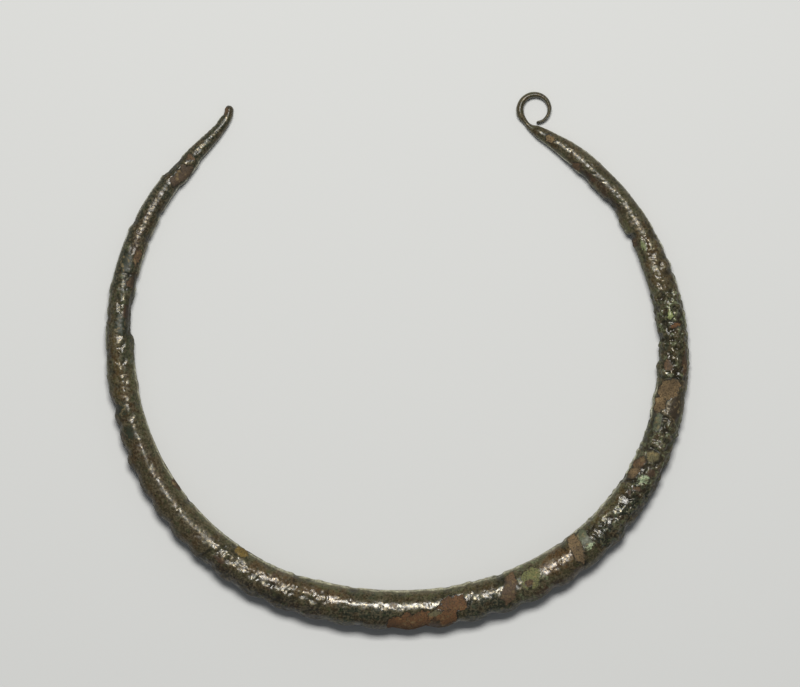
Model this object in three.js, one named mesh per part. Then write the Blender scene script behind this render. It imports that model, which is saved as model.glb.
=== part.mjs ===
// A bronze neck ring, about 150 mm across, cast as one piece and lying flat on its back.
// Seen from above it is an open ring with its mouth towards +Y. The bar is thickest at the front,
// is ribbed on its outer side there, and thins towards two ends: the right one is rolled outward
// into a small loop, and the left one is broken off where its own loop began to turn.
// Units are millimetres, +Z is up, and the flat underside lies on z = 0.

import * as THREE from "three";

// The bar's centre line, clockwise from the mouth: degrees from +Y, distance from the middle of the
// ring, and the bar's thickness seen from above. The first two lie in the neck of the loop, and the
// last three are the stub of the broken end.
const BAR_STATIONS = [
  [30.3, 65.95, 1.25],
  [31.4, 65.55, 1.6],
  [33.7, 65.65, 3.0],
  [37.5, 66.0, 3.9],
  [45, 66.8, 5.6],
  [60, 68.7, 6.1],
  [75, 69.8, 7.3],
  [90, 71.2, 7.9],
  [105, 71.7, 8.4],
  [120, 71.8, 9.0],
  [135, 71.1, 9.7],
  [150, 70.0, 10.1],
  [165, 68.85, 10.3],
  [180, 68.3, 10.3],
  [195, 68.65, 10.2],
  [210, 69.85, 9.7],
  [225, 70.65, 9.4],
  [240, 71.0, 8.4],
  [255, 71.05, 7.6],
  [270, 71.3, 7.4],
  [285, 71.8, 6.5],
  [300, 71.9, 5.6],
  [311, 71.35, 4.5],
  [319, 71.5, 3.2],
  [321.9, 72.1, 2.6],
  [323.6, 73.15, 2.35],
  [324.6, 74.75, 2.2],
];

// The loop is a thin strip rolled round an open eye, from the neck over the top and back to the neck.
const LOOP = {
  eyeDegrees: 30.5,
  eyeDistance: 69.95,
  eyeRadius: 3.0,
  startTurn: 198,
  endTurn: -86,
  startThickness: 1.9,
  endThickness: 0.9,
  points: 10,
};

// The section is an oval a little lower than it is wide, and the thin ends are flattened strips
// that stand on edge.
const SECTION = { sides: 14, heightShare: 0.92, stripHeight: 2.2 };

// Rounded ribs run across the outer side of the bar. Each is 0.8 of the local thickness long, with
// a sharp valley between neighbours, and they die away towards the arms. The first valley is at
// firstValley degrees.
const RIBS = {
  pitchShare: 0.8,
  depthShare: 0.09,
  firstValley: 128.4,
  fadeIn: [116, 130],
  fadeOut: [256, 266],
  crownAngle: -10,
  reach: 80,
};

// Places where the crust has broken away and left a shallow step in the outline: degrees from, to,
// the side it is on (180 is the inner side of the bar, 0 the outer) and how deep it is.
const LOSSES = [
  { from: 49, to: 61, side: 0, depth: 0.35 },
  { from: 50, to: 57, side: 180, depth: 0.3 },
  { from: 271, to: 280.5, side: 180, depth: 0.75 },
];
const LOSS_EDGE = 1.2; // degrees over which a step falls away
const LOSS_REACH = 75; // degrees round the section that a step covers on each side

// How finely the bar is divided: stations to a rib where the ribs show, and elsewhere.
const STEPS_PER_RIB = 7;
const STEPS_PER_PLAIN_PITCH = 3;
const SMALLEST_PITCH = 1.75;
const FINE_SAMPLES = 6000;

const radians = THREE.MathUtils.degToRad;
const { smoothstep, lerp } = THREE.MathUtils;

// A point of the ring as seen from above, at an angle clockwise from +Y.
function ringPoint(degrees, distance) {
  return new THREE.Vector2(Math.sin(radians(degrees)), Math.cos(radians(degrees))).multiplyScalar(distance);
}

// The whole centre line from the loop's tip to the broken end. The third coordinate of each point
// carries the thickness, so that the curve smooths it as it smooths the route.
function centreLine() {
  const eye = ringPoint(LOOP.eyeDegrees, LOOP.eyeDistance);
  const points = [];
  for (let i = 0; i < LOOP.points; i++) {
    const share = i / (LOOP.points - 1);
    const turn = radians(lerp(LOOP.endTurn, LOOP.startTurn, share));
    const thickness = lerp(LOOP.endThickness, LOOP.startThickness, share);
    const out = LOOP.eyeRadius + thickness / 2;
    points.push(new THREE.Vector3(eye.x + out * Math.cos(turn), eye.y + out * Math.sin(turn), thickness));
  }
  for (const [degrees, distance, thickness] of BAR_STATIONS) {
    const place = ringPoint(degrees, distance);
    points.push(new THREE.Vector3(place.x, place.y, thickness));
  }
  return new THREE.CatmullRomCurve3(points, false, "centripetal");
}

// The angle of a place clockwise from +Y, from 0 to 360.
function degreesOf(place) {
  return (THREE.MathUtils.radToDeg(Math.atan2(place.x, place.y)) + 360) % 360;
}

function ribStrength(degrees) {
  return smoothstep(degrees, ...RIBS.fadeIn) * (1 - smoothstep(degrees, ...RIBS.fadeOut));
}

// Stations along the centre line, spaced by the ribs so that every valley falls on one. Each has its
// place, its thickness, the rib count up to it and its angle round the ring.
function stationsAlong(curve) {
  const samples = [];
  let count = 0;
  let onBar = false;
  for (let i = 0; i <= FINE_SAMPLES; i++) {
    const place = curve.getPoint(i / FINE_SAMPLES);
    const last = samples[i - 1];
    if (last) {
      const step = Math.hypot(place.x - last.place.x, place.y - last.place.y);
      count += step / Math.max(SMALLEST_PITCH, RIBS.pitchShare * place.z);
    }
    const degrees = degreesOf(place);
    onBar = onBar || (degrees > 40 && place.length() < LOOP.eyeDistance);
    samples.push({ place, count, degrees: onBar ? degrees : 0 });
  }
  const firstValley = samples.find((sample) => sample.degrees >= RIBS.firstValley).count;
  const stations = [];
  let lastStep = -Infinity;
  for (const sample of samples) {
    sample.count -= firstValley;
    const perPitch = ribStrength(sample.degrees) > 0 ? STEPS_PER_RIB : STEPS_PER_PLAIN_PITCH;
    const step = Math.floor(sample.count * perPitch);
    if (step !== lastStep) stations.push(sample);
    lastStep = step;
  }
  stations.push(samples.at(-1));
  return stations;
}

// How much of the oval is cut away at a point of a section, by a valley between ribs and by losses.
// Around is the angle round the section: 0 outward, 90 up, 180 inward.
function cutAway(station, around) {
  const fromCrown = Math.abs(around - RIBS.crownAngle);
  const onRibSide = fromCrown < RIBS.reach ? Math.cos(radians((fromCrown / RIBS.reach) * 90)) ** 2 : 0;
  const valley = 1 - Math.abs(Math.sin(Math.PI * station.count));
  let cut = RIBS.depthShare * station.place.z * ribStrength(station.degrees) * valley * onRibSide;
  for (const loss of LOSSES) {
    const along =
      smoothstep(station.degrees, loss.from, loss.from + LOSS_EDGE) *
      (1 - smoothstep(station.degrees, loss.to - LOSS_EDGE, loss.to));
    const away = Math.abs(THREE.MathUtils.euclideanModulo(around - loss.side + 180, 360) - 180);
    if (away < LOSS_REACH) cut += loss.depth * along * Math.cos(radians((away / LOSS_REACH) * 90));
  }
  return cut;
}

// One ring of vertices round the bar. Shrink draws the last rings in, which rounds the two ends.
function sectionRing(station, outward, shrink) {
  const halfWidth = (station.place.z / 2) * shrink;
  const height = Math.hypot(SECTION.heightShare * station.place.z, SECTION.stripHeight);
  const halfFacet = 180 / SECTION.sides;
  const middle = (height / 2) * Math.cos(radians(halfFacet));
  const ring = [];
  for (let i = 0; i < SECTION.sides; i++) {
    const around = -90 + halfFacet + (360 / SECTION.sides) * i;
    const cut = cutAway(station, around > 180 ? around - 360 : around);
    const across = (halfWidth - cut) * Math.cos(radians(around));
    const up = ((height / 2) * shrink - cut) * Math.sin(radians(around));
    const place = station.place;
    ring.push([place.x + outward.x * across, place.y + outward.y * across, middle + up]);
  }
  return ring;
}

// Rings along the bar, joined by quads cut in two, with a fan of triangles over each end.
function barGeometry() {
  const stations = stationsAlong(centreLine());
  const rounding = [0.55, 0.88];
  const rings = stations.map((station, i) => {
    const before = stations[Math.max(i - 1, 0)].place;
    const after = stations[Math.min(i + 1, stations.length - 1)].place;
    const outward = new THREE.Vector2(before.y - after.y, after.x - before.x).normalize();
    const fromEnd = Math.min(i, stations.length - 1 - i);
    return sectionRing(station, outward, rounding[fromEnd] ?? 1);
  });
  const sides = SECTION.sides;
  const positions = rings.flat(2);
  const faces = [];
  for (let i = 0; i + 1 < rings.length; i++)
    for (let j = 0; j < sides; j++) {
      const here = i * sides + j;
      const beside = i * sides + ((j + 1) % sides);
      faces.push(here, beside, here + sides, beside, beside + sides, here + sides);
    }
  for (const [ring, first] of [[rings[0], 0], [rings.at(-1), (rings.length - 1) * sides]]) {
    const middle = positions.length / 3;
    for (let axis = 0; axis < 3; axis++) positions.push(ring.reduce((sum, point) => sum + point[axis], 0) / sides);
    for (let j = 0; j < sides; j++) {
      const pair = [first + j, first + ((j + 1) % sides)];
      faces.push(middle, ...(first === 0 ? pair.reverse() : pair));
    }
  }
  const geometry = new THREE.BufferGeometry();
  geometry.setAttribute("position", new THREE.Float32BufferAttribute(positions, 3));
  geometry.setIndex(faces);
  geometry.computeVertexNormals();
  return geometry;
}

// The middle of the ring's outline, seen from above, becomes the origin.
function centred(geometry) {
  geometry.computeBoundingBox();
  const middle = geometry.boundingBox.getCenter(new THREE.Vector3());
  return geometry.translate(-middle.x, -middle.y, 0);
}

const bronze = new THREE.MeshStandardMaterial({ color: "#5b5237", roughness: 0.42, metalness: 0.85 });

const neckRing = new THREE.Mesh(centred(barGeometry()), bronze);
neckRing.name = "neck_ring";

const torc = new THREE.Group();
torc.add(neckRing);

export default torc;
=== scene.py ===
"""A bronze neck ring, lying flat on a pale table and seen from straight above.

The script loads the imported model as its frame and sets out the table, the light and the camera. Then
it makes the ring in the order in which it came to be: the cast and hammered bar with its rolled
loop, the crust that grew on it in the ground, and the finish of that crust.
"""

import math
import random

import bpy
import numpy as np
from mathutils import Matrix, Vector, noise


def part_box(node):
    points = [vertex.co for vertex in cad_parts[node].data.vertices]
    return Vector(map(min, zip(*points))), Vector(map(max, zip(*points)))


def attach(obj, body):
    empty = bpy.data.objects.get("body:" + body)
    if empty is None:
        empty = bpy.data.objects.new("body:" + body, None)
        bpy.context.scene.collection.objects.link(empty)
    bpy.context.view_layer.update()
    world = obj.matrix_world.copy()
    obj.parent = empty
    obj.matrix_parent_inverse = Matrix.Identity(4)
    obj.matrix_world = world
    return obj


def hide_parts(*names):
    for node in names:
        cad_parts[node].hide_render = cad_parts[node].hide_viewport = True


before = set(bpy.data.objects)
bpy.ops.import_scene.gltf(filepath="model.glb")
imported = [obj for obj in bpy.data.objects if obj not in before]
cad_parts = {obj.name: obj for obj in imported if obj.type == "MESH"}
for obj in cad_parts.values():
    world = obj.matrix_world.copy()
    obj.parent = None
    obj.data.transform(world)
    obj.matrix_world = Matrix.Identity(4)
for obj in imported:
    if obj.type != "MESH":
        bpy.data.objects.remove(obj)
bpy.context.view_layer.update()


# ---------------------------------------------------------------------------------------------
# The table, the light and the camera
# A plain pale table top lies under the ring. One soft box hangs above it, a little towards the
# ring's mouth, and the room around gives a weak even light.

MM = 0.001  # the scene is in metres
TABLE_HALF = 2.0
TABLE_DROP = 0.05 * MM  # keeps the table top clear of the ring's flat strip
TABLE_COLOUR = "#babcbd"
TABLE_ROUGHNESS = 0.85
LAMP_COLOUR, LAMP_WATTS = "#fffcf6", 15.5
LAMP_WIDTH, LAMP_LENGTH, LAMP_DISTANCE = 0.4, 0.26, 1.1
LAMP_TOWARDS = Vector((0, 0.36, 1)).normalized()
ROOM_COLOUR, ROOM_STRENGTH = "#e3e6e8", 0.24
VIEW_CENTRE = Vector((0.64, 4.38, 5)) * MM  # a little past the ring's middle, at half its height
VIEW_WIDTH = 205.8 * MM
LENS, SENSOR = 300, 36  # in millimetres, and long enough for a nearly parallel view


def linear(hex_colour):
    """The linear values of an sRGB colour such as "#807050", with an alpha of 1."""
    parts = [int(hex_colour[i : i + 2], 16) / 255 for i in (1, 3, 5)]
    return (*(p / 12.92 if p <= 0.04045 else ((p + 0.055) / 1.055) ** 2.4 for p in parts), 1.0)


table_mesh = bpy.data.meshes.new("table_top")
table_corners = [(-1, -1), (1, -1), (1, 1), (-1, 1)]
table_corners = [(x * TABLE_HALF, y * TABLE_HALF, -TABLE_DROP) for x, y in table_corners]
table_mesh.from_pydata(table_corners, [], [(0, 1, 2, 3)])
table_top = bpy.data.objects.new("table_top", table_mesh)
bpy.context.scene.collection.objects.link(table_top)

# Matt painted board: an even pale grey with no shine.
painted_board = bpy.data.materials.new("painted_board")
painted_board.use_nodes = True
board_finish = painted_board.node_tree.nodes["Principled BSDF"]
board_finish.inputs["Base Color"].default_value = linear(TABLE_COLOUR)
board_finish.inputs["Roughness"].default_value = TABLE_ROUGHNESS
table_mesh.materials.append(painted_board)

lamp = bpy.data.objects.new("key_light", bpy.data.lights.new("key_light", "AREA"))
lamp.data.shape = "RECTANGLE"
lamp.data.color = linear(LAMP_COLOUR)[:3]
lamp.data.size, lamp.data.size_y = LAMP_WIDTH, LAMP_LENGTH
lamp.data.energy = LAMP_WATTS
lamp.location = VIEW_CENTRE + LAMP_TOWARDS * LAMP_DISTANCE
lamp.rotation_mode = "QUATERNION"
lamp.rotation_quaternion = LAMP_TOWARDS.to_track_quat("Z", "Y")
bpy.context.scene.collection.objects.link(lamp)

room = bpy.data.worlds.new("room")
room.use_nodes = True
room.node_tree.nodes["Background"].inputs["Color"].default_value = linear(ROOM_COLOUR)
room.node_tree.nodes["Background"].inputs["Strength"].default_value = ROOM_STRENGTH
bpy.context.scene.world = room
bpy.context.scene.view_settings.view_transform = "Standard"

camera = bpy.data.objects.new("camera", bpy.data.cameras.new("camera"))
camera.data.lens = LENS
camera.data.sensor_width = SENSOR
camera.location = VIEW_CENTRE + Vector((0, 0, VIEW_WIDTH * LENS / SENSOR))
bpy.context.scene.collection.objects.link(camera)
bpy.context.scene.camera = camera


# ---------------------------------------------------------------------------------------------
# The bar
# One cast bronze bar, hammered thinner towards both ends and bent to an open ring. The right end is
# beaten to a strip and rolled outward into a loop, and the left one is broken where its loop began.
# Its lengths are in millimetres and its angles run clockwise from the mouth, as in the solid model.

# Degrees, distance from the middle of the ring, and the bar's thickness seen from above.
BAR_STATIONS = [
    (30.3, 65.95, 1.25),
    (31.4, 65.55, 1.55),
    (33.7, 65.65, 3.0),
    (37.5, 66.0, 3.9),
    (45, 66.8, 5.6),
    (60, 68.7, 6.1),
    (75, 69.75, 7.3),
    (90, 71.15, 7.7),
    (105, 71.65, 8.2),
    (120, 71.9, 8.8),
    (135, 71.4, 9.7),
    (150, 70.3, 10.1),
    (165, 69.1, 10.2),
    (180, 68.55, 10.3),
    (195, 68.95, 10.2),
    (210, 70.2, 9.7),
    (225, 70.9, 9.2),
    (240, 71.3, 8.4),
    (255, 71.3, 7.6),
    (270, 71.4, 7.3),
    (285, 71.95, 6.4),
    (300, 71.9, 5.6),
    (311, 71.3, 4.6),
    (319, 71.6, 3.4),
    (321.9, 72.3, 2.7),
    (323.6, 73.3, 2.4),
    (324.9, 75.15, 2.3),
]
EYE_DEGREES, EYE_DISTANCE, EYE_RADIUS = 30.55, 70.15, 3.1
LOOP_TURNS = (-86, 198)  # degrees round the eye, against the clock from +X
LOOP_THICKNESS = (0.65, 1.9)
LOOP_POINTS = 10
SHOULDER = 33.7  # degrees where the bar proper begins, past the neck of the loop
HEIGHT_SHARE = 0.92  # the bar's height as a share of its thickness
STRIP_HEIGHT = 2.2  # the height of the strip that the loop is rolled from
SOLID_FACETS = 14  # the solid model's section has this many sides, and so stands a little lower
ROUTE_STEPS = 120  # samples between two stations
TIP_ROUNDING = 0.55  # the length over which an end is rounded off, as a share of its thickness
TIP_START = 0.01  # the share of that length where the first ring stands, so that it isn't a point
RING_STEP, SIDES = 0.27, 64  # how close the rings of the sweep stand, and how many points each has
TOP_CROWDING = 0.3  # the points round the bar stand closer on top, where the relief is finest

# The ribs, and the hairline rings that the hammer and the file left round the two arms.
RIB_PITCH, RIB_DEPTH = 0.8, 0.085  # shares of the bar's thickness
SMALLEST_PITCH = 1.75  # in millimetres
FIRST_VALLEY = 128.4  # the degrees from which the ribs are counted
RIBS_FADE_IN, RIBS_FADE_OUT = (116, 130), (256, 266)
RIB_CROWN, RIB_REACH = 100, 80  # degrees from the top of the section, towards the outer side
RIB_FADE = 2.0  # how fast a valley dies away from its crown
HAIRLINE_STEP, HAIRLINE_DEPTH = 1.15, 0.04
HAIRLINES_END, HAIRLINES_BEGIN = (70, 80), (286, 296)
UNEVEN_RIBS = (8.0, 0.35)  # the length over which the ribs grow deeper or shallower, and by how much
UNEVEN_HAIRLINES = (3.5, 0.9, 0.4)  # the same for the hairlines, and how far they stray


def smooth(low, high, value):
    """0 up to low and 1 from high, with an even S between them."""
    share = np.clip((value - low) / (high - low), 0, 1)
    return share * share * (3 - 2 * share)


def ring_point(at_degrees, distance):
    """Where a point of the ring lies, as seen from above."""
    turn = math.radians(at_degrees)
    return np.array([math.sin(turn), math.cos(turn)]) * distance


def smooth_route(points, steps):
    """A centripetal Catmull-Rom curve through points, with steps samples to each stretch."""
    points = np.array([2 * points[0] - points[1], *points, 2 * points[-1] - points[-2]])
    samples = []
    for before, start, end, after in zip(points, points[1:], points[2:], points[3:]):
        pairs = ((before, start), (start, end), (end, after))
        first, span, last = (math.sqrt(np.linalg.norm(b - a)) for a, b in pairs)
        leave = (start - before) / first - (end - before) / (first + span) + (end - start) / span
        arrive = (end - start) / span - (after - start) / (span + last) + (after - end) / last
        for t in np.linspace(0, 1, steps, endpoint=False):
            samples.append(
                (2 * t**3 - 3 * t**2 + 1) * start
                + (t**3 - 2 * t**2 + t) * leave * span
                + (3 * t**2 - 2 * t**3) * end
                + (t**3 - t**2) * arrive * span
            )
    return np.array([*samples, points[-2]])


# The route from the loop's tip to the broken end. Its third coordinate is the thickness.
eye = ring_point(EYE_DEGREES, EYE_DISTANCE)
stations = []
for share in np.linspace(0, 1, LOOP_POINTS):
    turn = math.radians(np.interp(share, (0, 1), LOOP_TURNS))
    width = np.interp(share, (0, 1), LOOP_THICKNESS)
    out = EYE_RADIUS + width / 2
    stations.append(np.array([eye[0] + out * math.cos(turn), eye[1] + out * math.sin(turn), width]))
for at_degrees, distance, width in BAR_STATIONS:
    stations.append(np.array([*ring_point(at_degrees, distance), width]))
route = smooth_route(stations, ROUTE_STEPS)
travelled = np.concatenate([[0], np.cumsum(np.linalg.norm(np.diff(route[:, :2], axis=0), axis=1))])
length = travelled[-1]
along = np.arange(0, length, RING_STEP)
route = np.array([np.interp(along, travelled, route[:, axis]) for axis in range(3)]).T
thickness = route[:, 2]

# Degrees mean nothing on the loop, so it keeps the shoulder's.
shoulder_place = ring_point(SHOULDER, np.interp(SHOULDER, *np.array(BAR_STATIONS).T[:2]))
bar_begins = np.argmin(np.linalg.norm(route[:, :2] - shoulder_place, axis=1))
degrees = np.degrees(np.arctan2(route[:, 0], route[:, 1])) % 360
degrees[:bar_begins] = SHOULDER


def uneven(size, seed):
    """Slow change along the bar from about -1 to 1, over stretches of a size in millimetres."""
    return np.array([2 * noise.noise(Vector((place / size, seed, 0.5))) for place in along])


rib_count = np.cumsum(RING_STEP / np.maximum(SMALLEST_PITCH, RIB_PITCH * thickness))
rib_count -= np.interp(FIRST_VALLEY, degrees[bar_begins:], rib_count[bar_begins:])
rib_strength = smooth(*RIBS_FADE_IN, degrees) * (1 - smooth(*RIBS_FADE_OUT, degrees))
size, change = UNEVEN_RIBS
valley = 1 - np.abs(np.sin(math.pi * rib_count))
valley *= RIB_DEPTH * thickness * rib_strength * (1 + change * uneven(size, 2.5))
hairline_strength = 1 - smooth(*HAIRLINES_END, degrees) + smooth(*HAIRLINES_BEGIN, degrees)
hairline_strength[:bar_begins] = 0
size, change, stray = UNEVEN_HAIRLINES
hairline = np.cos(math.pi * (along / HAIRLINE_STEP + stray * uneven(size, 3.5))) ** 2
hairline *= HAIRLINE_DEPTH * hairline_strength * np.maximum(0, 1 + change * uneven(size, 4.5))

from_end = np.minimum(along / thickness[0], (length - along) / thickness[-1]) / TIP_ROUNDING
rounding = np.sqrt(1 - (1 - np.clip(from_end, TIP_START, 1)) ** 2)
height = np.hypot(HEIGHT_SHARE * thickness, STRIP_HEIGHT) * math.cos(math.pi / SOLID_FACETS)

spine = bpy.data.meshes.new("bar_spine")
spine_edges = [(i, i + 1) for i in range(len(route) - 1)]
spine.from_pydata([(x * MM, y * MM, 0) for x, y, _ in route], spine_edges, [])
spine_values = {
    "half_width": thickness / 2 * rounding * MM,
    "half_height": height / 2 * rounding * MM,
    "middle_height": height / 2 * MM,
    "valley": valley * MM,
    "hairline": hairline * MM,
    "along": along,
    "degrees": degrees,
}
for name, values in spine_values.items():
    spine.attributes.new(name, "FLOAT", "POINT").data.foreach_set("value", values.astype(np.float32))


def add(tree, kind, *values, inputs=None, **settings):
    """Adds a node with its settings. Values go to its open inputs in order, or by name in inputs.

    A value that is a node or a socket is linked, None leaves an input alone, and others are set.
    """
    node = tree.nodes.new(kind)
    for name, setting in settings.items():
        setattr(node, name, setting)
    sockets = [socket for socket in node.inputs if socket.enabled]
    given_values = list(zip(sockets, values))
    for name, value in (inputs or {}).items():
        given_values.append((next(s for s in sockets if s.name == name), value))
    for socket, value in given_values:
        if isinstance(value, bpy.types.Node):
            value = next(s for s in value.outputs if s.enabled)
        if isinstance(value, bpy.types.NodeSocket):
            tree.links.new(value, socket)
        elif value is not None:
            socket.default_value = value
    return node


def new_tree(name, inputs):
    """An empty geometry tree with a geometry input and output, and its further inputs by name."""
    tree = bpy.data.node_groups.new(name, "GeometryNodeTree")
    tree.interface.new_socket("Geometry", in_out="INPUT", socket_type="NodeSocketGeometry")
    tree.interface.new_socket("Geometry", in_out="OUTPUT", socket_type="NodeSocketGeometry")
    for socket_name, kind in inputs.items():
        tree.interface.new_socket(socket_name, in_out="INPUT", socket_type="NodeSocket" + kind)
    return tree, add(tree, "NodeGroupInput").outputs


def grow(obj, tree, values):
    """The plain mesh that a geometry tree makes of an object, with the tree's inputs set by name."""
    modifier = obj.modifiers.new(tree.name, "NODES")
    modifier.node_group = tree
    for item in tree.interface.items_tree:
        if item.in_out == "INPUT" and item.name in values:
            modifier[item.identifier] = values[item.name]
    graph = bpy.context.evaluated_depsgraph_get()
    made = obj.evaluated_get(graph)
    mesh = bpy.data.meshes.new_from_object(made, preserve_all_data_layers=True, depsgraph=graph)
    obj.modifiers.remove(modifier)
    return mesh


bar_tree, given = new_tree(
    "ribbed_bar",
    {
        "Sides": "Int",
        "Section radius": "Float",
        "Top crowding": "Float",
        "Rib crown": "Float",
        "Rib reach": "Float",
        "Rib fade": "Float",
        "Metal": "Material",
    },
)

# Each point of the spine keeps its place and the way that is outward there: up times the run.
run = add(bar_tree, "GeometryNodeInputTangent")
outward = add(bar_tree, "ShaderNodeVectorMath", (0, 0, 1), run, operation="CROSS_PRODUCT")
outward = add(bar_tree, "ShaderNodeVectorMath", outward, operation="NORMALIZE")
place = add(bar_tree, "GeometryNodeInputPosition")
curve = add(bar_tree, "GeometryNodeMeshToCurve", given["Geometry"])
for name, value in (("outward", outward), ("centre", place)):
    curve = add(
        bar_tree,
        "GeometryNodeStoreNamedAttribute",
        inputs={"Geometry": curve, "Name": name, "Value": value},
        data_type="FLOAT_VECTOR",
    )

# The angle round the section is 0 on top and grows towards the outer side.
index = add(bar_tree, "GeometryNodeInputIndex")
share = add(bar_tree, "ShaderNodeMath", index, given["Sides"], operation="DIVIDE")
even = add(bar_tree, "ShaderNodeMath", share, math.tau, -math.pi, operation="MULTIPLY_ADD")
wave = add(bar_tree, "ShaderNodeMath", even, operation="SINE")
crowded = add(bar_tree, "ShaderNodeMath", wave, given["Top crowding"], operation="MULTIPLY")
angle = add(bar_tree, "ShaderNodeMath", even, crowded, operation="SUBTRACT")
section = add(
    bar_tree,
    "GeometryNodeCurvePrimitiveCircle",
    inputs={"Resolution": given["Sides"], "Radius": given["Section radius"]},
    mode="RADIUS",
)
section = add(
    bar_tree,
    "GeometryNodeStoreNamedAttribute",
    inputs={"Geometry": section, "Name": "turn", "Value": angle},
    data_type="FLOAT",
)
bar = add(
    bar_tree,
    "GeometryNodeCurveToMesh",
    inputs={"Curve": curve, "Profile Curve": section, "Fill Caps": True},
)
bar = add(bar_tree, "GeometryNodeFlipFaces", bar)  # the sweep leaves them pointing inward

single_values = ("turn", "half_width", "half_height", "middle_height", "valley", "hairline")
kept = {}
for name in (*single_values, "outward", "centre"):
    kept[name] = add(
        bar_tree,
        "GeometryNodeInputNamedAttribute",
        inputs={"Name": name},
        data_type="FLOAT" if name in single_values else "FLOAT_VECTOR",
    )

# A valley is deepest at the crown of the ribbed side and has faded to nothing at its reach.
off_crown = add(bar_tree, "ShaderNodeMath", kept["turn"], given["Rib crown"], operation="SUBTRACT")
off_crown = add(bar_tree, "ShaderNodeMath", off_crown, operation="ABSOLUTE")
off_crown = add(
    bar_tree,
    "ShaderNodeMath",
    off_crown,
    given["Rib reach"],
    operation="DIVIDE",
    use_clamp=True,
)
off_crown = add(bar_tree, "ShaderNodeMath", off_crown, math.pi / 2, operation="MULTIPLY")
fade = add(bar_tree, "ShaderNodeMath", off_crown, operation="COSINE")
fade = add(bar_tree, "ShaderNodeMath", fade, given["Rib fade"], operation="POWER")
cut = add(bar_tree, "ShaderNodeMath", kept["valley"], fade, kept["hairline"], operation="MULTIPLY_ADD")

half_width = add(bar_tree, "ShaderNodeMath", kept["half_width"], cut, operation="SUBTRACT")
half_height = add(bar_tree, "ShaderNodeMath", kept["half_height"], cut, operation="SUBTRACT")
sine = add(bar_tree, "ShaderNodeMath", kept["turn"], operation="SINE")
cosine = add(bar_tree, "ShaderNodeMath", kept["turn"], operation="COSINE")
across = add(bar_tree, "ShaderNodeMath", sine, half_width, operation="MULTIPLY")
middle = kept["middle_height"]
level = add(bar_tree, "ShaderNodeMath", cosine, half_height, middle, operation="MULTIPLY_ADD")
level = add(bar_tree, "ShaderNodeCombineXYZ", inputs={"Z": level})
spot = add(bar_tree, "ShaderNodeVectorMath", kept["outward"], operation="SCALE", inputs={"Scale": across})
spot = add(bar_tree, "ShaderNodeVectorMath", spot, kept["centre"], operation="ADD")
spot = add(bar_tree, "ShaderNodeVectorMath", spot, level, operation="ADD")
bar = add(bar_tree, "GeometryNodeSetPosition", inputs={"Geometry": bar, "Position": spot})
bar = add(bar_tree, "GeometryNodeRealizeInstances", bar)
bar = add(bar_tree, "GeometryNodeSetMaterial", inputs={"Geometry": bar, "Material": given["Metal"]})
add(bar_tree, "NodeGroupOutput", bar)

bronze = bpy.data.materials.new("corroded_bronze")
spine_object = bpy.data.objects.new("bar_spine", spine)
bpy.context.scene.collection.objects.link(spine_object)
bar_mesh = grow(
    spine_object,
    bar_tree,
    {
        "Sides": SIDES,
        "Section radius": MM,
        "Top crowding": TOP_CROWDING,
        "Rib crown": math.radians(RIB_CROWN),
        "Rib reach": math.radians(RIB_REACH),
        "Rib fade": RIB_FADE,
        "Metal": bronze,
    },
)
bpy.data.objects.remove(spine_object)
bar_mesh.name = "neck_ring_skin"


# ---------------------------------------------------------------------------------------------
# The crust
# The skin that grew on the bronze in the ground: thin, dark and smooth over most of the ring, thick
# and blistered on the right arm. Angular flakes have sprung off it and show paler or redder layers.

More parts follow.
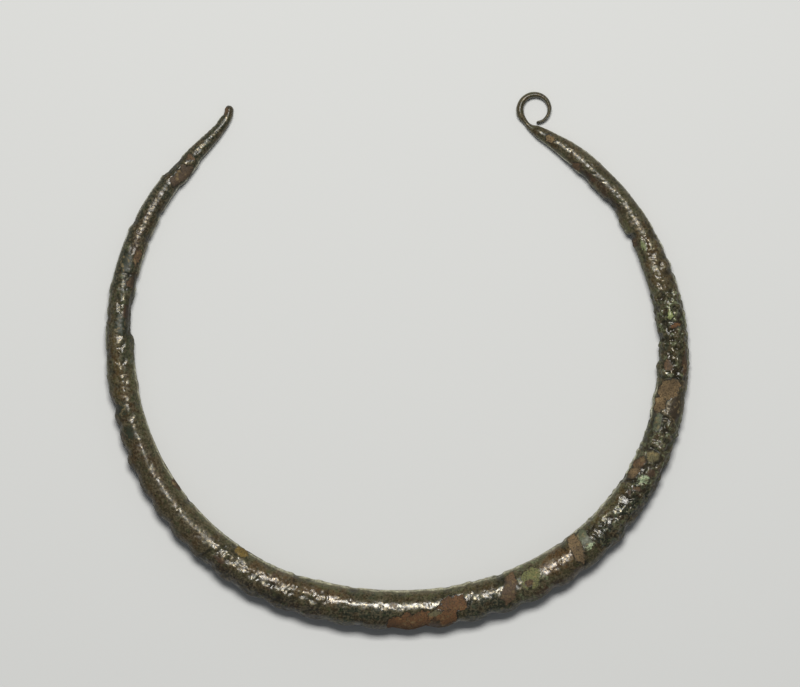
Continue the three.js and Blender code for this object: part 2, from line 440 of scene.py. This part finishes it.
# Places where the outer skin has sprung off or changed colour: from and to in degrees, the nearest
# and farthest distance from the middle of the ring, the slant of the ends, and what shows there. A
# later one lies over an earlier one.
FLAKES = [
    (35.6, 38.0, 64.7, 67.1, 0, "tan"),
    (44.2, 46.2, 64.0, 66.0, 10, "brown"),
    (47.9, 50.6, 64.7, 66.2, 0, "old_rust"),
    (52.0, 59.5, 65.6, 67.0, 0, "umber"),
    (60.9, 64.8, 65.0, 66.1, 0, "bone"),
    (65.6, 67.8, 65.8, 67.2, 0, "old_rust"),
    (67.0, 69.8, 67.4, 69.0, -30, "verdigris"),
    (82.9, 85.2, 69.6, 71.8, -20, "glaze"),
    (85.6, 86.8, 70.4, 73.0, 0, "rust"),
    (91.5, 96.6, 73.2, 75.0, 0, "old_rust"),
    (93.4, 95.7, 68.5, 71.3, 15, "brown"),
    (100.7, 106.0, 72.0, 74.8, 25, "umber"),
    (104.6, 109.0, 68.6, 71.3, 0, "slate"),
    (97.1, 101.9, 68.0, 73.9, -14, "tan"),
    (101.4, 104.8, 67.8, 70.7, -20, "tan"),
    (112.4, 114.8, 70.1, 73.6, -10, "khaki"),
    (114.6, 117.6, 68.0, 70.9, -25, "brown"),
    (117.2, 120.2, 67.9, 70.6, -25, "tan"),
    (118.2, 119.6, 70.9, 73.8, -20, "mint"),
    (116.2, 118.0, 72.2, 74.5, 0, "old_rust"),
    (120.3, 121.6, 70.9, 73.1, -20, "brown"),
    (121.9, 123.1, 70.4, 71.8, 0, "brown"),
    (134.8, 137.6, 66.9, 72.2, 0, "slate"),
    (135.2, 137.4, 71.3, 72.3, 0, "mint"),
    (137.3, 140.0, 66.4, 74.0, 14, "tan"),
    (147.9, 152.6, 67.2, 71.4, 8, "moss"),
    (150.3, 152.2, 69.3, 70.9, 0, "brown"),
    (153.6, 157.0, 65.7, 72.5, 22, "brown"),
    (164.6, 170.4, 66.2, 70.6, 0, "rust"),
    (170.4, 175.6, 69.3, 75.2, 0, "rust"),
    (180.3, 181.4, 66.6, 68.0, 0, "old_rust"),
    (207.3, 208.3, 66.7, 67.9, 0, "old_rust"),
    (214.8, 218.1, 65.7, 68.1, 0, "ochre"),
    (218.5, 220.5, 70.8, 72.8, 10, "old_rust"),
    (236.0, 238.8, 66.8, 68.3, 0, "old_rust"),
    (250.0, 253.0, 70.9, 73.9, 0, "dark_slate"),
    (255.3, 258.1, 71.2, 74.4, 0, "dark_slate"),
    (271.9, 276.3, 69.3, 73.0, 15, "dark_slate"),
    (275.6, 278.0, 69.2, 71.0, 0, "old_rust"),
    (281.5, 284.1, 69.2, 71.5, 0, "brown"),
    (284.5, 288.7, 70.9, 74.4, 20, "dark_slate"),
    (286.7, 290.4, 69.6, 71.3, 0, "brown"),
    (305.3, 310.9, 69.3, 72.2, -25, "dark_brown"),
    (311.5, 312.7, 70.4, 72.7, 0, "brown"),
    (323.4, 325.6, 73.2, 77.5, 0, "brown"),
    (174.4, 181.8, 69.7, 75.4, 0, "rust"),
    (172.0, 179.0, 69.6, 73.8, 0, "rust"),
    (168.0, 173.4, 70.2, 74.6, 0, "old_rust"),
    (176.6, 182.2, 69.7, 74.4, 0, "rust"),
    (167.2, 171.8, 69.4, 73.2, 0, "rust"),
    (167.2, 170.3, 66.4, 69.0, 0, "rust"),
    (170.6, 173.4, 69.2, 70.8, 0, "khaki"),
    (170.9, 172.0, 71.5, 72.7, 0, "umber"),
]

# What shows in a flake: its colour, how deep it lies below the skin, how matt it is, and how much its
# edge scatters into specks, from 0 for a clean break to 1 for a growth.
LAYERS = {
    "tan": ("#776347", 0.18, 1.0, 0.1),
    "khaki": ("#59543a", 0.1, 0.8, 0.2),
    "brown": ("#57432e", 0.12, 0.8, 0.2),
    "dark_brown": ("#45382a", 0.12, 0.8, 0.2),
    "umber": ("#30271a", 0.06, 0.2, 0.7),
    "rust": ("#664628", 0.15, 1.0, 0.1),
    "old_rust": ("#3f2e1d", 0.05, 0.4, 0.35),
    "ochre": ("#665424", 0.04, 0.9, 0.3),
    "bone": ("#7b7c63", -0.12, 0.3, 0.3),
    "slate": ("#4a503b", 0.04, 0.5, 0.1),
    "dark_slate": ("#20281b", 0.0, 0.3, 0.8),
    "mint": ("#8e9c7c", -0.05, 0.6, 0.5),
    "moss": ("#5a5d39", -0.04, 0.8, 0.6),
    "verdigris": ("#6b7350", -0.05, 0.1, 0.3),
    "glaze": ("#7d8659", 0.0, 0.0, 0.1),
}

# The broad colours of the skin, some of them with painted shade: from and to in degrees, from the inner
# to the outer side as shares of the half width, and the colour.
SKIN_COLOUR = "#34311f"
TINTS_AND_SHADE = [
    (0, 360, -1.6, -0.55, "#44442c"),
    (33, 64, 0.2, 1.4, "#3f3d2b"),
    (44, 60, -1.0, -0.2, "#32271a"),
    (64, 80, -0.6, 0.9, "#453a24"),
    (78, 97.5, -1.2, 1.2, "#34321f"),
    (98, 120, -0.6, 1.2, "#383322"),
    (120, 136, -1.0, -0.4, "#43391f"),
    # Dark tints on the outer side at the front: partly dark patina, partly painted shade away from the
    # lamp.
    (119, 136, -0.4, 1.6, "#1d1f16"),
    (139, 148, -0.9, 0.3, "#49381f"),
    (140, 152, 0.4, 1.6, "#2f261a"),
    (156, 166, -0.3, 1.6, "#20231a"),
    (180.5, 195, -0.2, 1.6, "#24271c"),
    (184, 191, -1.0, -0.5, "#2f3525"),
    (191, 214, -0.9, 0.1, "#4a3c26"),
    (195, 222, 0.2, 1.6, "#25211a"),
    (222, 262, -0.5, 1.2, "#352f1d"),
    (258, 272, -0.3, 0.7, "#43381f"),
    (265, 273, -1.0, -0.3, "#343723"),
    (280, 326, -1.6, 1.6, "#25271a"),
    (288, 304, -0.4, 0.6, "#31291b"),
]
TINT_FADE_DEGREES, TINT_FADE_SHARE = 1.2, 0.3
DRIFT_SIZE = 3.0  # the edges of tints, lines and ridges wander over this length, in millimetres

# A thin pale line along the widest part of the bar, partly lime and partly painted rim light where the
# edges catch the light: from and to in degrees, the inner or the outer side, and the colour.
PAINTED_RIM_LIGHTS = [
    (28, 52, -1, "#b9b8a3"),
    (96, 138, -1, "#babba4"),
    (132, 164, -1, "#abaa94"),
    (158, 208, -1, "#b8b69a"),
    (202, 268, -1, "#a8a78f"),
    (278, 326, -1, "#b9b8a5"),
    (31, 86, 1, "#bbbba8"),
    (82, 114, 1, "#8c8d76"),
    (260, 292, 1, "#8c8d7a"),
    (288, 326, 1, "#b8b8a6"),
]
LINE_START, LINE_END, LINE_FADE = 0.88, 1.07, 0.08  # shares of the half width
LINE_TOP_DRIFT, LINE_FOOT_DRIFT = 0.05, 0.15
LINE_RUN = 4  # degrees over which a line begins and ends

# The stretches of the skin, each up to where the next begins: where it begins in degrees, its
# roughness, how coarse its tooth is, how far its lumps stand up, and how thick pale green specks lie.
STRETCHES = [
    (30, 0.28, 1.0, 0.0, 0.0),
    (66, 0.26, 1.5, 0.22, 0.25),
    (79, 0.22, 1.5, 0.5, 0.8),
    (97.3, 0.34, 0.8, 0.1, 0.0),
    (104, 0.3, 1.2, 0.42, 0.8),
    (120, 0.22, 1.5, 0.3, 0.35),
    (135, 0.22, 1.0, 0.05, 0.0),
    (147, 0.3, 1.2, 0.1, 0.7),
    (154, 0.22, 1.1, 0.1, 0.15),
    (166, 0.2, 0.8, 0.04, 0.05),
    (196, 0.24, 1.5, 0.2, 0.05),
    (223, 0.3, 0.7, 0.02, 0.0),
    (249, 0.28, 1.0, 0.14, 0.15),
    (264, 0.26, 1.4, 0.2, 0.15),
    (280, 0.3, 1.2, 0.1, 0.3),
    (291, 0.28, 1.5, 0.03, 0.05),
]
STRETCH_FADE = 1.2
SIDE_DULLNESS, SIDE_START = 0.25, 0.7  # the sides are rougher, where lime dulls the skin

# Lumps that stand by themselves: degrees, distance from the middle of the ring, length, width, height.
BLISTERS = [
    (67.5, 68.2, 1.6, 1.2, 0.25),
    (76.8, 70.2, 1.6, 2.0, 0.4),
    (84.0, 70.7, 2.6, 2.2, 0.5),
    (111.0, 71.0, 1.4, 3.4, 0.3),
    (109.2, 70.8, 1.2, 3.2, 0.25),
    (268.3, 71.6, 1.3, 1.4, 0.25),
    (308.8, 72.2, 2.2, 1.5, 0.2),
]

# Cracks across the skin: degrees, nearest and farthest distance, slant, width and depth.
CRACKS = [
    (97.1, 66.0, 76.0, 0, 0.35, 0.35),
    (82.0, 68.0, 72.5, 25, 0.3, 0.25),
    (87.0, 67.0, 75.5, -12, 0.35, 0.25),
    (104.9, 67.5, 70.5, -15, 0.3, 0.2),
    (112.2, 69.5, 74.0, 8, 0.3, 0.25),
    (120.3, 67.0, 74.5, -28, 0.35, 0.3),
    (134.6, 66.0, 72.0, 0, 0.3, 0.2),
    (164.3, 66.0, 71.0, 10, 0.3, 0.2),
    (195.4, 64.5, 69.5, 0, 0.35, 0.22),
    (203.6, 66.0, 70.0, 18, 0.3, 0.18),
    (222.6, 70.5, 75.0, 10, 0.35, 0.22),
    (284.6, 69.0, 73.0, -10, 0.3, 0.2),
]
BLISTER_FOOT = 1.2  # where a blister meets the skin, as a squared share of its half size
BLISTER_WANDER = 0.5  # how far a blister's outline strays, as a share of a flake's
CRACK_WANDER = 0.7  # the same for a crack
CRACK_RUN_OUT = 0.8  # the length at each end over which a crack runs out, in millimetres

# The relief of the skin: how high its forms are and how far apart, in millimetres.
LUMP_SIZE, LUMP_GRAIN = 1.7, 1.6
LUMP_EDGES = (0.1, 0.75)  # where a lump's top ends and where its foot does, as shares of its size
LUMPS_LOST = 0.75  # the share of the lumps that went with a flake
PITS, PIT_SIZE, PIT_EDGES = 0.11, 1.3, (0.25, 0.6)
SWELL, SWELL_SIZE = 0.12, 5.0  # slow rise and fall of the whole surface
TOOTH, TOOTH_SIZE = 0.035, 0.9  # its finer roughness
FULL_RELIEF = 2.5  # half the thickness from which the relief is full
SEED_SHIFT = 31.7  # sets the uneven patterns apart from each other
OCTAVE_FALL, OCTAVE_STEP = 0.8, 2.0  # how fast a pattern's layers weaken, and how much finer each is

# The broken outline of a flake: how ragged it is, its corners, and the step down into it.
EDGE_WANDER, EDGE_WANDER_SIZE = 0.5, 1.7
FLAKE_CORNERS, CORNER_SHIFT, CORNER_REACH = (5, 6, 7), 0.2, (0.85, 1.02)
FLAKE_EDGE, FLAKE_STEP = (-0.2, 0.3), (-0.1, 0.25)
FARTHEST_INSIDE = 3.0  # how far from an outline its distance is still kept

# Nicks along the two edges of the bar: from and to in degrees, the inner or the outer edge, and the
# depth, which is below 0 where the edge swells.
NICKS = [
    (46.8, 49.4, -1, 0.3),
    (49.0, 61.0, 1, 0.15),
    (55.0, 58.4, -1, 0.4),
    (60.4, 64.5, -1, -0.5),
    (64.7, 65.9, -1, 0.5),
    (66.0, 68.2, 1, 0.25),
    (70.8, 72.6, 1, 0.3),
    (73.3, 74.4, 1, -0.3),
    (74.6, 76.0, 1, 0.25),
    (87.6, 89.6, -1, 0.35),
    (93.5, 97.0, -1, -0.3),
    (99.4, 101.2, 1, 0.25),
    (100.8, 102.6, -1, -0.35),
    (105.5, 111.8, -1, 0.2),
    (109.0, 111.0, 1, 0.25),
    (114.8, 116.6, 1, 0.35),
    (119.6, 121.2, -1, 0.25),
    (130.0, 131.8, 1, -0.3),
    (140.0, 141.3, -1, 0.25),
    (155.6, 157.2, -1, 0.35),
    (163.0, 164.4, -1, -0.25),
    (167.8, 169.6, -1, 0.2),
    (189.0, 190.7, -1, 0.2),
    (202.3, 203.8, -1, 0.25),
    (212.5, 214.6, 1, -0.25),
    (221.6, 223.2, 1, 0.25),
    (232.3, 233.6, -1, 0.2),
    (245.4, 247.2, 1, -0.4),
    (256.0, 257.8, 1, 0.5),
    (260.0, 262.0, -1, -0.25),
    (262.0, 263.8, 1, -0.3),
    (267.0, 268.8, 1, 0.3),
    (271.6, 281.2, -1, 0.25),
    (271.8, 279.8, -1, 0.3),
    (274.6, 275.8, 1, 0.3),
    (272.2, 278.2, -1, 0.3),
    (280.0, 282.0, 1, -0.25),
    (282.0, 284.4, -1, 0.4),
    (292.0, 293.4, -1, 0.3),
    (292.6, 293.8, 1, -0.3),
    (294.4, 295.6, 1, 0.25),
    (298.0, 299.4, -1, 0.3),
    (304.8, 305.8, 1, -0.3),
    (306.5, 310.8, 1, 0.3),
    (306.5, 312.3, -1, -0.4),
    (321.2, 323.0, 1, -0.3),
]
NICK_END, NICK_REACH = 0.5, 75  # degrees along the bar, and degrees round it
EDGE_SHARE = 0.6  # how much of the relief is left at the edges, where hands and cloth have worn it

# Long soft ridges on top of the bar, where two hammered faces meet, and one furrow, whose height is
# below 0: from and to in degrees, distance from the middle of the ring, height and half width.
RIDGES = [
    (196, 214, 69.4, -0.12, 0.8),
    (226, 262, 70.9, 0.3, 2.4),
]
RIDGE_FADE, RIDGE_DRIFT = 3.0, 0.4

count = len(bar_mesh.vertices)
spots = np.empty(count * 3)
bar_mesh.vertices.foreach_get("co", spots)
spots = spots.reshape(-1, 3) / MM
normals = np.array([v.normal for v in bar_mesh.vertices])


def kept_values(name):
    """The values of an attribute of the swept bar."""
    values = np.empty(count)
    bar_mesh.attributes[name].data.foreach_get("value", values)
    return values


def keep_values(name, values):
    """Keeps values on the skin for its finish to read."""
    layer = bar_mesh.attributes.new(name, "FLOAT", "POINT")
    layer.data.foreach_set("value", values.astype(np.float32))


def keep_colours(name, colours):
    """Keeps colours on the skin for its finish to read."""
    layer = bar_mesh.attributes.new(name, "FLOAT_COLOR", "POINT")
    layer.data.foreach_set("color", colours.astype(np.float32).ravel())


def rough(size, seed, octaves=3):
    """Uneven values from about -1 to 1 over the skin, with lumps of a size in millimetres."""
    places = spots / size + seed * SEED_SHIFT
    return np.array([noise.fractal(place, OCTAVE_FALL, OCTAVE_STEP, octaves) for place in places])


def warts(size, seed):
    """Round lumps of a size in millimetres: 1 on their tops, and 0 between them."""
    places = spots / size + seed * SEED_SHIFT
    nearest = np.array([noise.voronoi(place)[0][0] for place in places])
    return 1 - smooth(*LUMP_EDGES, nearest)


skin_along = kept_values("along")
skin_degrees = kept_values("degrees")
skin_turn = kept_values("turn")
skin_half = np.interp(skin_along, along, thickness) / 2
skin_across = skin_turn * skin_half
middle_distance = np.linalg.norm(route[:, :2], axis=1)


def bar_place(at_degrees, distance):
    """How far along the bar a point is, and how far round from its top, both in millimetres."""
    at = np.interp(at_degrees, degrees[bar_begins:], along[bar_begins:])
    half = np.interp(at, along, thickness) / 2
    share = (distance - np.interp(at, along, middle_distance)) / half
    past = abs(share) - 1
    return at, half * (math.asin(share) if past < 0 else math.copysign(math.pi / 2 + past, share))


wander_along = EDGE_WANDER * rough(EDGE_WANDER_SIZE, 1)
wander_across = EDGE_WANDER * rough(EDGE_WANDER_SIZE, 2)


def flake_inside(flake, draw):
    """How far inside the broken outline of a flake each point of the skin is, in millimetres."""
    start, end, nearest, farthest, slant, _ = flake
    at_start, inner = bar_place(start, nearest)
    at_end, outer = bar_place(end, farthest)
    half_along, half_across = (at_end - at_start) / 2, (outer - inner) / 2
    away = skin_across + wander_across - (inner + outer) / 2
    off_middle = skin_along + wander_along - (at_start + at_end) / 2
    x = (off_middle - away * math.tan(math.radians(slant))) / half_along
    y = away / half_across
    corners = draw.choice(FLAKE_CORNERS)
    first = draw.uniform(0, math.tau)
    distance = np.full(count, np.inf)
    for corner in range(corners):
        side = first + math.tau * (corner + draw.uniform(-CORNER_SHIFT, CORNER_SHIFT)) / corners
        reach = draw.uniform(*CORNER_REACH)
        steepness = math.hypot(math.cos(side) / half_along, math.sin(side) / half_across)
        distance = np.minimum(distance, (reach - x * math.cos(side) - y * math.sin(side)) / steepness)
    return distance


draw = random.Random(12)
inside = np.full(count, -FARTHEST_INSIDE)
flake_colours = np.tile(linear(LAYERS["tan"][0]), (count, 1))
sunk = np.zeros(count)
matt = np.zeros(count)
scatter = np.zeros(count)
for flake in FLAKES:
    hex_colour, depth, mattness, scattering = LAYERS[flake[-1]]
    found = flake_inside(flake, draw)
    taken = (found > inside) | (found > 0)
    inside[taken] = found[taken]
    flake_colours[taken] = linear(hex_colour)
    sunk[taken] = depth
    matt[taken] = mattness
    scatter[taken] = scattering

# Shares of the half width as seen from above, which go on past 1 under the widest part.
skin_share = np.sin(skin_turn)
under = np.cos(skin_turn) < 0
skin_share[under] = np.sign(skin_turn[under]) * (2 - np.abs(skin_share[under]))
skin_colours = np.tile(linear(SKIN_COLOUR), (count, 1))
drift = rough(DRIFT_SIZE, 3)
# The tints go onto the skin, and with them the painted shade on the outer side at the front.
for start, end, nearest, farthest, hex_colour in TINTS_AND_SHADE:
    span = skin_degrees + drift * TINT_FADE_DEGREES
    reach = skin_share + drift * TINT_FADE_SHARE
    weight = smooth(start, start + TINT_FADE_DEGREES, span)
    weight *= 1 - smooth(end - TINT_FADE_DEGREES, end, span)
    weight *= smooth(nearest, nearest + TINT_FADE_SHARE, reach)
    weight *= 1 - smooth(farthest - TINT_FADE_SHARE, farthest, reach)
    skin_colours += weight[:, None] * (np.array(linear(hex_colour)) - skin_colours)

# Painted rim light, partly lime: pale lines along the edges of the bar.
for start, end, side, hex_colour in PAINTED_RIM_LIGHTS:
    top = skin_share * side + LINE_TOP_DRIFT * drift
    foot = skin_share * side + LINE_FOOT_DRIFT * drift
    weight = smooth(start, start + LINE_RUN, skin_degrees)
    weight *= 1 - smooth(end - LINE_RUN, end, skin_degrees)
    weight *= smooth(LINE_START, LINE_START + LINE_FADE, top)
    weight *= 1 - smooth(LINE_END - LINE_FADE, LINE_END, foot)
    skin_colours += weight[:, None] * (np.array(linear(hex_colour)) - skin_colours)

dullness, tooth, lumpy, growth = np.tile(np.array(STRETCHES[0][1:])[:, None], (1, count))
for start, *values in STRETCHES[1:]:
    weight = smooth(start - STRETCH_FADE / 2, start + STRETCH_FADE / 2, skin_degrees)
    dullness, tooth, lumpy, growth = (
        old + weight * (value - old) for old, value in zip((dullness, tooth, lumpy, growth), values)
    )
dullness = dullness + SIDE_DULLNESS * smooth(SIDE_START, 1, np.abs(skin_share))

bare = smooth(*FLAKE_EDGE, inside)
lumps = lumpy * (warts(LUMP_SIZE, 4) - 0.5 + rough(LUMP_GRAIN, 5)) * (1 - LUMPS_LOST * bare)
pits = PITS * smooth(*PIT_EDGES, rough(PIT_SIZE, 6, 2)) * (1 - bare)
relief = SWELL * rough(SWELL_SIZE, 7, 2) + TOOTH * tooth * rough(TOOTH_SIZE, 8) + lumps - pits
relief -= sunk * smooth(*FLAKE_STEP, inside)
for at_degrees, distance, blister_length, width, rise in BLISTERS:
    at, round_top = bar_place(at_degrees, distance)
    x = (skin_along + BLISTER_WANDER * wander_along - at) / (blister_length / 2)
    y = (skin_across + BLISTER_WANDER * wander_across - round_top) / (width / 2)
    relief += rise * (1 - smooth(0, BLISTER_FOOT, x**2 + y**2))
for at_degrees, nearest, farthest, slant, width, depth in CRACKS:
    at, inner = bar_place(at_degrees, nearest)
    outer = bar_place(at_degrees, farthest)[1]
    away = skin_across - (inner + outer) / 2
    off_line = skin_along - at - away * math.tan(math.radians(slant)) + CRACK_WANDER * wander_along
    half_length = (outer - inner) / 2
    ends = 1 - smooth(half_length - CRACK_RUN_OUT, half_length, np.abs(away))
    relief -= depth * ends * np.exp(-((off_line / width) ** 2))
for start, end, distance, rise, half in RIDGES:
    crest = bar_place((start + end) / 2, distance)[1] + RIDGE_DRIFT * drift
    weight = smooth(start, start + RIDGE_FADE, skin_degrees)
    weight *= 1 - smooth(end - RIDGE_FADE, end, skin_degrees)
    relief += rise * weight * np.maximum(0, 1 - np.abs(skin_across - crest) / half)
worn = EDGE_SHARE + (1 - EDGE_SHARE) * np.cos(skin_turn) ** 2
relief *= np.minimum(1, skin_half / FULL_RELIEF) * worn
for start, end, side, depth in NICKS:
    off_side = np.abs((np.degrees(skin_turn) - 90 * side + 180) % 360 - 180) / NICK_REACH
    weight = smooth(start - NICK_END, start + NICK_END, skin_degrees)
    weight *= 1 - smooth(end - NICK_END, end + NICK_END, skin_degrees)
    relief -= depth * weight * np.cos(np.minimum(off_side, 1) * math.pi / 2)

# The solid's middle is the skin's middle, and nothing sinks below the table.
spots += normals * relief[:, None]
solid_low, solid_high = np.array(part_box("neck_ring")) / MM
centre = (spots.min(axis=0) + spots.max(axis=0)) / 2
spots[:, :2] += ((solid_low + solid_high) / 2 - centre)[:2]
spots[:, 2] = np.maximum(spots[:, 2], 0)
bar_mesh.vertices.foreach_set("co", (spots * MM).ravel())
bar_mesh.update()

# The values that the sweep left on the mesh make room for those that the finish reads.
for name in [attribute.name for attribute in bar_mesh.attributes if not attribute.is_required]:
    if name not in ("material_index", "sharp_face"):
        bar_mesh.attributes.remove(bar_mesh.attributes[name])
keep_colours("skin_colour", skin_colours)
keep_colours("flake_colour", flake_colours)
finish_values = {
    "inside_flake": np.clip(inside, -FARTHEST_INSIDE, FARTHEST_INSIDE),
    "matt": matt,
    "scatter": scatter,
    "relief": relief,
    "dullness": dullness,
    "growth": growth,
    "tooth": tooth,
}
for name, values in finish_values.items():
    keep_values(name, values)
skin = bpy.data.objects.new("neck_ring_skin", bar_mesh)
bpy.context.scene.collection.objects.link(skin)


# ---------------------------------------------------------------------------------------------
# The finish
# Buried bronze with a dark, glossy patina of copper and tin salts. The eye gets a mottled olive and
# brown skin that glitters where the light falls, and dull tan, rust and pale green in the flakes.

# The grains in millimetres. The real crystals are finer than the finest, and wouldn't show.
PINHOLES, SPECKS, CRYSTALS, SPATTER, MOTTLES, CLOUDS = 0.35, 0.5, 0.6, 1.3, 1.8, 3.0
BUMP_HEIGHT = 0.055

BROWN_CLOUD, GREEN_MOTTLE, BLACK_PIT, BARE_BRONZE, PALE_GROWTH = (
    linear(hex_colour) for hex_colour in ("#3c2710", "#363d25", "#0b0b06", "#7a705a", "#6c7558")
)
# The last of these is painted shade for what lies low.
FLAKE_PORE, FLAKE_SPOT, CRACK_BLACK, PAINTED_SHADE = (
    linear(hex_colour) for hex_colour in ("#261e10", "#8b7a56", "#0b0a05", "#0c0c07")
)

bronze.use_nodes = True
finish = bronze.node_tree
shader = finish.nodes["Principled BSDF"]
place = add(finish, "ShaderNodeTexCoord").outputs["Object"]
stored = {}
for name in ("skin_colour", "flake_colour"):
    stored[name] = add(finish, "ShaderNodeAttribute", attribute_name=name).outputs["Color"]
for name in finish_values:
    stored[name] = add(finish, "ShaderNodeAttribute", attribute_name=name).outputs["Fac"]

# Each noise takes its place, its scale, its detail and its roughness.
pinholes = add(finish, "ShaderNodeTexNoise", place, 1 / (PINHOLES * MM), 4, 0.6)
specks = add(finish, "ShaderNodeTexNoise", place, 1 / (SPECKS * MM), 4, 0.6)
crystals = add(finish, "ShaderNodeTexNoise", place, 1 / (CRYSTALS * MM), 3, 0.6)
spatter = add(finish, "ShaderNodeTexNoise", place, 1 / (SPATTER * MM), 4, 0.6)
mottles = add(finish, "ShaderNodeTexNoise", place, 1 / (MOTTLES * MM), 5, 0.6)
clouds = add(finish, "ShaderNodeTexNoise", place, 1 / (CLOUDS * MM), 5, 0.6)

# The edge of a flake wanders a little where it is a clean break, and falls into specks where it grew.
# Each map range takes its value, the two ends that it reads, and the two that it gives.
stray = add(finish, "ShaderNodeMath", specks, 0.5, operation="SUBTRACT")
spread = add(finish, "ShaderNodeMapRange", stored["scatter"], 0, 1, 0.6, 4)
firmness = add(finish, "ShaderNodeMapRange", stored["scatter"], 0, 1, 1, 0.3)
depth_in = add(finish, "ShaderNodeMath", firmness, stored["inside_flake"], operation="MULTIPLY")
edge = add(finish, "ShaderNodeMath", stray, spread, depth_in, operation="MULTIPLY_ADD")
in_flake = add(finish, "ShaderNodeMapRange", edge, -0.05, 0.1, 0, 1)
edge_away = add(finish, "ShaderNodeMath", edge, operation="ABSOLUTE")
crack = add(finish, "ShaderNodeMapRange", edge_away, 0.02, 0.28, 1, 0)
clean = add(finish, "ShaderNodeMapRange", stored["scatter"], 0.1, 0.4, 1, 0)
broken = add(finish, "ShaderNodeMapRange", spatter, 0.38, 0.5, 0, 1)
crack = add(finish, "ShaderNodeMath", crack, clean, operation="MULTIPLY")
crack = add(finish, "ShaderNodeMath", crack, broken, operation="MULTIPLY")

# The skin: brown clouds and green mottles, black pits, bronze that shines through, and pale growth.
amount = add(finish, "ShaderNodeMapRange", clouds, 0.5, 0.58, 0, 0.4)
skin_look = add(finish, "ShaderNodeMix", amount, stored["skin_colour"], BROWN_CLOUD, data_type="RGBA")
amount = add(finish, "ShaderNodeMapRange", mottles, 0.55, 0.62, 0, 0.45)
skin_look = add(finish, "ShaderNodeMix", amount, skin_look, GREEN_MOTTLE, data_type="RGBA")
amount = add(finish, "ShaderNodeMapRange", specks, 0.5, 0.38, 0, 0.7)
skin_look = add(finish, "ShaderNodeMix", amount, skin_look, BLACK_PIT, data_type="RGBA")
outside = add(finish, "ShaderNodeMapRange", in_flake, 0, 1, 0.45, 0)
shine = add(finish, "ShaderNodeMapRange", crystals, 0.5, 0.6, 0, 1)
shine = add(finish, "ShaderNodeMath", shine, outside, operation="MULTIPLY")
skin_look = add(finish, "ShaderNodeMix", shine, skin_look, BARE_BRONZE, data_type="RGBA")
patches = add(finish, "ShaderNodeMapRange", spatter, 0.52, 0.58, 0, 1)
dots = add(finish, "ShaderNodeMapRange", specks, 0.4, 0.6, 0, 1)
growth = add(finish, "ShaderNodeMath", patches, dots, operation="MULTIPLY")
growth = add(finish, "ShaderNodeMath", growth, stored["growth"], operation="MULTIPLY")
skin_look = add(finish, "ShaderNodeMix", growth, skin_look, PALE_GROWTH, data_type="RGBA")

# The flakes: dark pores and pale spots.
amount = add(finish, "ShaderNodeMapRange", pinholes, 0.48, 0.6, 0, 0.7)
flake_look = add(finish, "ShaderNodeMix", amount, stored["flake_colour"], FLAKE_PORE, data_type="RGBA")
amount = add(finish, "ShaderNodeMapRange", spatter, 0.54, 0.66, 0, 0.45)
flake_look = add(finish, "ShaderNodeMix", amount, flake_look, FLAKE_SPOT, data_type="RGBA")

# Both together, with dark lines round the flakes and painted shade that darkens what lies low.
look = add(finish, "ShaderNodeMix", in_flake, skin_look, flake_look, data_type="RGBA")
amount = add(finish, "ShaderNodeMath", crack, 0.95, operation="MULTIPLY")
look = add(finish, "ShaderNodeMix", amount, look, CRACK_BLACK, data_type="RGBA")
# Painted shade: the colour darkens where the relief lies low.
amount = add(finish, "ShaderNodeMapRange", stored["relief"], -0.02, -0.25, 0, 0.65)
look = add(finish, "ShaderNodeMix", amount, look, PAINTED_SHADE, data_type="RGBA")
finish.links.new(next(s for s in look.outputs if s.enabled), shader.inputs["Base Color"])
finish.links.new(shine.outputs[0], shader.inputs["Metallic"])
shader.inputs["Specular IOR Level"].default_value = 0.4  # lime takes some of the skin's gloss

# Flakes are matt, and the skin is glossier in some spots than in others.
dull = add(finish, "ShaderNodeMath", stored["matt"], in_flake, operation="MULTIPLY")
uneven_gloss = add(finish, "ShaderNodeMapRange", spatter, 0.35, 0.65, 0.8, 1.6)
roughness = add(finish, "ShaderNodeMath", uneven_gloss, stored["dullness"], operation="MULTIPLY")
roughness = add(finish, "ShaderNodeMath", dull, 0.6, roughness, operation="MULTIPLY_ADD", use_clamp=True)
finish.links.new(roughness.outputs[0], shader.inputs["Roughness"])

# Grains stand up from the skin, and the cracks round the flakes lie low.
bumps = add(finish, "ShaderNodeMath", specks, 0.7, spatter, operation="MULTIPLY_ADD")
bumps = add(finish, "ShaderNodeMath", bumps, stored["tooth"], operation="MULTIPLY")
bumps = add(finish, "ShaderNodeMath", crack, -0.5, bumps, operation="MULTIPLY_ADD")
bumped = add(
    finish,
    "ShaderNodeBump",
    inputs={"Height": bumps, "Strength": 1.0, "Distance": BUMP_HEIGHT * MM},
)
finish.links.new(bumped.outputs[0], shader.inputs["Normal"])

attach(skin, "root")
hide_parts("neck_ring")
